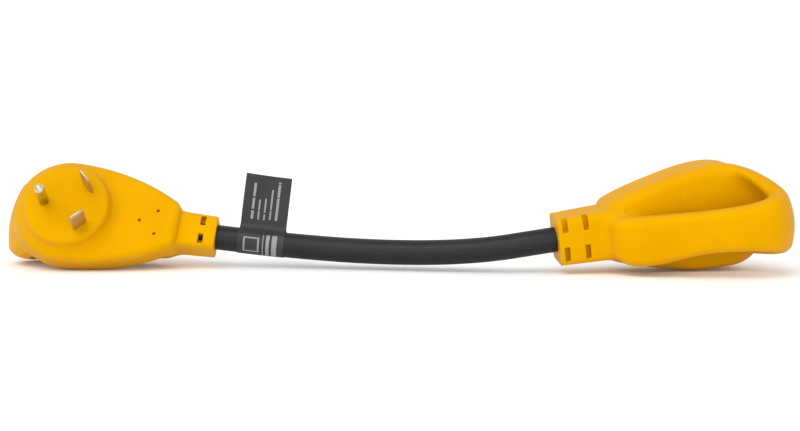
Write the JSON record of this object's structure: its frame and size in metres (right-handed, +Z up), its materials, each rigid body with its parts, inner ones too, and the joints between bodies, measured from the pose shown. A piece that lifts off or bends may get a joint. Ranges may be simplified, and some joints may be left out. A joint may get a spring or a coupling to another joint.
{
  "type": "power adapter dogbone",
  "caption": "Short power adapter: a moulded flat-blade plug and a moulded socket, each with a pull handle on its back, joined by a thick round cable with a flag label.",
  "frame": {"origin": "centre of the base of the box round the two moulded heads, on the surface that the adapter lies on, measured without the cable and its label", "axes": "+Z up from the surface it lies on, +X along the adapter's length from the plug towards the socket, so +Y is away from the plug's mating face"},
  "size_m": [0.4634, 0.0962, 0.0642],
  "materials": {
    "yellow_moulding": "fine satin injection-moulded PVC",
    "insert_plastic": "matt moulded nylon",
    "blade_brass": "stamped and lightly burnished brass",
    "contact_brass": "formed strip brass",
    "jacket_black": "smooth semi-gloss cable jacket",
    "wrap_paper": "thin separator tape",
    "filler_fibre": "twisted filler string",
    "core_black": "smooth wire insulation",
    "core_white": "smooth wire insulation",
    "core_green": "smooth wire insulation",
    "copper_strands": "bare stranded copper",
    "label_stock": null
  },
  "bodies": {
    "root": {"plug_overmould": "yellow_moulding", "plug_insert": "insert_plastic", "plug_hot_blade": "blade_brass", "plug_neutral_blade": "blade_brass", "plug_ground_pin": "blade_brass", "socket_overmould": "yellow_moulding", "socket_carrier_base": "insert_plastic", "socket_carrier_cover": "insert_plastic", "socket_hot_x_contact": "contact_brass", "socket_hot_y_contact": "contact_brass", "socket_neutral_contact": "contact_brass", "socket_ground_contact": "contact_brass", "socket_hot_link": "contact_brass", "cable_jacket": "jacket_black", "cable_wrap": "wrap_paper", "cable_filler_1": "filler_fibre", "cable_filler_2": "filler_fibre", "cable_filler_3": "filler_fibre", "hot_insulation": "core_black", "neutral_insulation": "core_white", "ground_insulation": "core_green", "hot_strands": "copper_strands", "neutral_strands": "copper_strands", "ground_strands": "copper_strands", "flag_label": "label_stock"}
  },
  "joints": []
}
